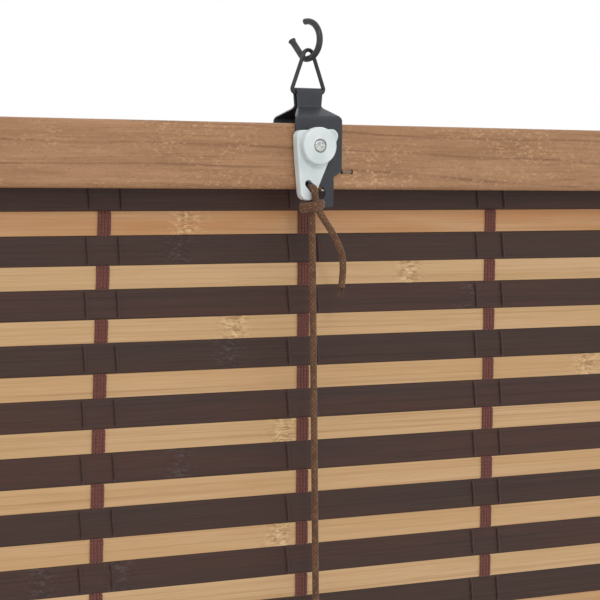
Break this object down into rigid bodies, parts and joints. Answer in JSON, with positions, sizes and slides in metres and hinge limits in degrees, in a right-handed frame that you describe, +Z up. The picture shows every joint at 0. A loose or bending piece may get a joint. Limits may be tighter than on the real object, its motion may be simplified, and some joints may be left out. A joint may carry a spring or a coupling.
{
  "type": "roll up bamboo blind",
  "caption": "Woven bamboo roll-up blind hung from a wooden headrail by wire hooks, rings and folded straps, with lift cords.",
  "frame": {"origin": "midway between the two seats inside the tops of the hooks, where the blind hangs", "axes": "+X along the headrail to the right seen from the room, +Y towards the window, +Z up"},
  "size_m": [0.614, 0.0444, 0.8545],
  "materials": {
    "black_wire": "satin",
    "strap_steel": "matte",
    "nylon": "satin",
    "bright_steel": "satin",
    "rail_wood": "satin",
    "knob_wood": "satin",
    "slats": "matte",
    "bamboo_dark": "matte",
    "bamboo_light": "matte",
    "yarn": "matte",
    "cord": "matte"
  },
  "bodies": {
    "hooks": {"hook_left": "black_wire", "hook_right": "black_wire"},
    "ring_left": {"ring_left": "black_wire"},
    "ring_right": {"ring_right": "black_wire"},
    "headrail": {"headrail": "rail_wood", "hanger_strap_left": "strap_steel", "hanger_strap_right": "strap_steel", "cord_anchor_left": "nylon", "cord_anchor_right": "nylon", "anchor_screws": "bright_steel", "pulley_block_left": "nylon", "pulley_block_right": "nylon", "pulley_pins": "bright_steel", "mounting_screws": "bright_steel", "cord_guide": "nylon", "rail_staples": "bright_steel", "top_slats": "slats", "cord_knots": "cord", "tied_end_left": "cord", "tied_end_right": "cord", "lift_cord_left": "cord", "lift_cord_right": "cord", "run_cord_left": "cord", "run_cord_right": "cord"},
    "wheel_left": {"pulley_wheel_left": "nylon"},
    "wheel_right": {"pulley_wheel_right": "nylon"},
    "pull": {"pull_cord_left": "cord", "pull_cord_right": "cord", "pull_knob": "knob_wood"},
    "slats_04": {"slat_pair_04": "slats"},
    "slats_05": {"slat_pair_05": "slats"},
    "slats_06": {"slat_pair_06": "slats"},
    "slats_07": {"slat_pair_07": "slats"},
    "slats_08": {"slat_pair_08": "slats"},
    "slats_09": {"slat_pair_09": "slats"},
    "slats_10": {"slat_pair_10": "slats"},
    "slats_11": {"slat_pair_11": "slats"},
    "slats_12": {"slat_pair_12": "slats"},
    "slats_13": {"slat_pair_13": "slats"},
    "slats_14": {"slat_pair_14": "slats"},
    "slats_15": {"slat_pair_15": "slats"},
    "slats_16": {"slat_pair_16": "slats"},
    "slats_17": {"slat_pair_17": "slats"},
    "slats_18": {"slat_pair_18": "slats"},
    "slats_19": {"slat_pair_19": "slats"},
    "slats_20": {"slat_pair_20": "slats"},
    "slats_21": {"slat_pair_21": "slats"},
    "slats_22": {"slat_pair_22": "slats"},
    "slats_23": {"slat_pair_23": "slats"},
    "slats_24": {"slat_pair_24": "slats"},
    "slats_25": {"slat_pair_25": "slats"},
    "slats_26": {"slat_pair_26": "slats"},
    "slats_27": {"slat_pair_27": "slats"},
    "slats_28": {"slat_pair_28": "slats"},
    "slats_29": {"slat_pair_29": "slats"},
    "slats_30": {"slat_pair_30": "slats"},
    "slats_31": {"slat_pair_31": "slats"},
    "slats_32": {"slat_pair_32": "slats"},
    "slats_33": {"slat_pair_33": "slats"},
    "bottom_bar": {"bottom_bar": "rail_wood"}
  },
  "joints": [
    {"name": "ring_swing", "type": "hinge", "parent": "hooks", "child": "ring_left", "pos_m": [-0.144, 0, -0.01458], "axis": [1, 0, 0], "range_deg": [-25, 25]},
    {"name": "ring_swing_right", "type": "hinge", "parent": "hooks", "child": "ring_right", "pos_m": [0.144, 0, -0.01458], "axis": [1, 0, 0], "range_deg": [-25, 25]},
    {"name": "rail_tilt", "type": "hinge", "parent": "ring_left", "child": "headrail", "pos_m": [-0.144, 0, -0.02918], "axis": [1, 0, 0], "range_deg": [-30, 30]},
    {"name": "pulley_turn", "type": "hinge", "parent": "headrail", "child": "wheel_left", "pos_m": [-0.1422, 0.0181, -0.05561], "axis": [0, 1, 0], "continuous": true},
    {"name": "pulley_turn_right", "type": "hinge", "parent": "headrail", "child": "wheel_right", "pos_m": [0.1458, 0.0181, -0.05561], "axis": [0, 1, 0], "continuous": true},
    {"name": "pull_swing", "type": "hinge", "parent": "headrail", "child": "pull", "pos_m": [0.306, 0.0181, -0.06641], "axis": [0, 1, 0], "range_deg": [-30, 0]},
    {"name": "bend_04", "type": "hinge", "parent": "headrail", "child": "slats_04", "pos_m": [0, 0.0092, -0.13506], "axis": [1, 0, 0], "range_deg": [0, 30.3]},
    {"name": "bend_05", "type": "hinge", "parent": "slats_04", "child": "slats_05", "pos_m": [0, 0.0092, -0.1581], "axis": [1, 0, 0], "range_deg": [0, 30.7]},
    {"name": "bend_06", "type": "hinge", "parent": "slats_05", "child": "slats_06", "pos_m": [0, 0.0092, -0.18113], "axis": [1, 0, 0], "range_deg": [0, 31.1]},
    {"name": "bend_07", "type": "hinge", "parent": "slats_06", "child": "slats_07", "pos_m": [0, 0.0092, -0.20417], "axis": [1, 0, 0], "range_deg": [0, 31.6]},
    {"name": "bend_08", "type": "hinge", "parent": "slats_07", "child": "slats_08", "pos_m": [0, 0.0092, -0.22722], "axis": [1, 0, 0], "range_deg": [0, 32]},
    {"name": "bend_09", "type": "hinge", "parent": "slats_08", "child": "slats_09", "pos_m": [0, 0.0092, -0.25026], "axis": [1, 0, 0], "range_deg": [0, 32.5]},
    {"name": "bend_10", "type": "hinge", "parent": "slats_09", "child": "slats_10", "pos_m": [0, 0.0092, -0.2733], "axis": [1, 0, 0], "range_deg": [0, 33]},
    {"name": "bend_11", "type": "hinge", "parent": "slats_10", "child": "slats_11", "pos_m": [0, 0.0092, -0.29634], "axis": [1, 0, 0], "range_deg": [0, 33.6]},
    {"name": "bend_12", "type": "hinge", "parent": "slats_11", "child": "slats_12", "pos_m": [0, 0.0092, -0.31938], "axis": [1, 0, 0], "range_deg": [0, 34.1]},
    {"name": "bend_13", "type": "hinge", "parent": "slats_12", "child": "slats_13", "pos_m": [0, 0.0092, -0.34242], "axis": [1, 0, 0], "range_deg": [0, 34.7]},
    {"name": "bend_14", "type": "hinge", "parent": "slats_13", "child": "slats_14", "pos_m": [0, 0.0092, -0.36545], "axis": [1, 0, 0], "range_deg": [0, 35.4]},
    {"name": "bend_15", "type": "hinge", "parent": "slats_14", "child": "slats_15", "pos_m": [0, 0.0092, -0.38849], "axis": [1, 0, 0], "range_deg": [0, 36]},
    {"name": "bend_16", "type": "hinge", "parent": "slats_15", "child": "slats_16", "pos_m": [0, 0.0092, -0.41153], "axis": [1, 0, 0], "range_deg": [0, 36.8]},
    {"name": "bend_17", "type": "hinge", "parent": "slats_16", "child": "slats_17", "pos_m": [0, 0.0092, -0.43457], "axis": [1, 0, 0], "range_deg": [0, 37.5]},
    {"name": "bend_18", "type": "hinge", "parent": "slats_17", "child": "slats_18", "pos_m": [0, 0.0092, -0.45761], "axis": [1, 0, 0], "range_deg": [0, 38.3]},
    {"name": "bend_19", "type": "hinge", "parent": "slats_18", "child": "slats_19", "pos_m": [0, 0.0092, -0.48065], "axis": [1, 0, 0], "range_deg": [0, 39.2]},
    {"name": "bend_20", "type": "hinge", "parent": "slats_19", "child": "slats_20", "pos_m": [0, 0.0092, -0.5037], "axis": [1, 0, 0], "range_deg": [0, 40.1]},
    {"name": "bend_21", "type": "hinge", "parent": "slats_20", "child": "slats_21", "pos_m": [0, 0.0092, -0.52673], "axis": [1, 0, 0], "range_deg": [0, 41.1]},
    {"name": "bend_22", "type": "hinge", "parent": "slats_21", "child": "slats_22", "pos_m": [0, 0.0092, -0.54978], "axis": [1, 0, 0], "range_deg": [0, 42.1]},
    {"name": "bend_23", "type": "hinge", "parent": "slats_22", "child": "slats_23", "pos_m": [0, 0.0092, -0.57281], "axis": [1, 0, 0], "range_deg": [0, 43.3]},
    {"name": "bend_24", "type": "hinge", "parent": "slats_23", "child": "slats_24", "pos_m": [0, 0.0092, -0.59586], "axis": [1, 0, 0], "range_deg": [0, 44.5]},
    {"name": "bend_25", "type": "hinge", "parent": "slats_24", "child": "slats_25", "pos_m": [0, 0.0092, -0.61889], "axis": [1, 0, 0], "range_deg": [0, 45.8]},
    {"name": "bend_26", "type": "hinge", "parent": "slats_25", "child": "slats_26", "pos_m": [0, 0.0092, -0.64194], "axis": [1, 0, 0], "range_deg": [0, 47.3]},
    {"name": "bend_27", "type": "hinge", "parent": "slats_26", "child": "slats_27", "pos_m": [0, 0.0092, -0.66497], "axis": [1, 0, 0], "range_deg": [0, 49]},
    {"name": "bend_28", "type": "hinge", "parent": "slats_27", "child": "slats_28", "pos_m": [0, 0.0092, -0.68802], "axis": [1, 0, 0], "range_deg": [0, 50.8]},
    {"name": "bend_29", "type": "hinge", "parent": "slats_28", "child": "slats_29", "pos_m": [0, 0.0092, -0.71105], "axis": [1, 0, 0], "range_deg": [0, 52.9]},
    {"name": "bend_30", "type": "hinge", "parent": "slats_29", "child": "slats_30", "pos_m": [0, 0.0092, -0.7341], "axis": [1, 0, 0], "range_deg": [0, 55.2]},
    {"name": "bend_31", "type": "hinge", "parent": "slats_30", "child": "slats_31", "pos_m": [0, 0.0092, -0.75714], "axis": [1, 0, 0], "range_deg": [0, 57.8]},
    {"name": "bend_32", "type": "hinge", "parent": "slats_31", "child": "slats_32", "pos_m": [0, 0.0092, -0.78017], "axis": [1, 0, 0], "range_deg": [0, 60.9]},
    {"name": "bend_33", "type": "hinge", "parent": "slats_32", "child": "slats_33", "pos_m": [0, 0.0092, -0.80322], "axis": [1, 0, 0], "range_deg": [0, 64.6]},
    {"name": "roll_up", "type": "hinge", "parent": "slats_33", "child": "bottom_bar", "pos_m": [0, 0.0092, -0.82625], "axis": [1, 0, 0], "range_deg": [0, 68.9], "deforming": ["lift_cord_left", "lift_cord_right"]}
  ],
  "couplings": [
    {"joint": "ring_swing_right", "follows": "ring_swing", "ratio": 1},
    {"joint": "pulley_turn_right", "follows": "pulley_turn", "ratio": 1},
    {"joint": "bend_04", "follows": "roll_up", "ratio": 0.4384},
    {"joint": "bend_05", "follows": "roll_up", "ratio": 0.4444},
    {"joint": "bend_06", "follows": "roll_up", "ratio": 0.4507},
    {"joint": "bend_07", "follows": "roll_up", "ratio": 0.4572},
    {"joint": "bend_08", "follows": "roll_up", "ratio": 0.4641},
    {"joint": "bend_09", "follows": "roll_up", "ratio": 0.4712},
    {"joint": "bend_10", "follows": "roll_up", "ratio": 0.4787},
    {"joint": "bend_11", "follows": "roll_up", "ratio": 0.4866},
    {"joint": "bend_12", "follows": "roll_up", "ratio": 0.4949},
    {"joint": "bend_13", "follows": "roll_up", "ratio": 0.5036},
    {"joint": "bend_14", "follows": "roll_up", "ratio": 0.5127},
    {"joint": "bend_15", "follows": "roll_up", "ratio": 0.5224},
    {"joint": "bend_16", "follows": "roll_up", "ratio": 0.5327},
    {"joint": "bend_17", "follows": "roll_up", "ratio": 0.5436},
    {"joint": "bend_18", "follows": "roll_up", "ratio": 0.5552},
    {"joint": "bend_19", "follows": "roll_up", "ratio": 0.5676},
    {"joint": "bend_20", "follows": "roll_up", "ratio": 0.5809},
    {"joint": "bend_21", "follows": "roll_up", "ratio": 0.5951},
    {"joint": "bend_22", "follows": "roll_up", "ratio": 0.6104},
    {"joint": "bend_23", "follows": "roll_up", "ratio": 0.627},
    {"joint": "bend_24", "follows": "roll_up", "ratio": 0.645},
    {"joint": "bend_25", "follows": "roll_up", "ratio": 0.6647},
    {"joint": "bend_26", "follows": "roll_up", "ratio": 0.6863},
    {"joint": "bend_27", "follows": "roll_up", "ratio": 0.7101},
    {"joint": "bend_28", "follows": "roll_up", "ratio": 0.7367},
    {"joint": "bend_29", "follows": "roll_up", "ratio": 0.7664},
    {"joint": "bend_30", "follows": "roll_up", "ratio": 0.8001},
    {"joint": "bend_31", "follows": "roll_up", "ratio": 0.8387},
    {"joint": "bend_32", "follows": "roll_up", "ratio": 0.8835},
    {"joint": "bend_33", "follows": "roll_up", "ratio": 0.9365}
  ]
}
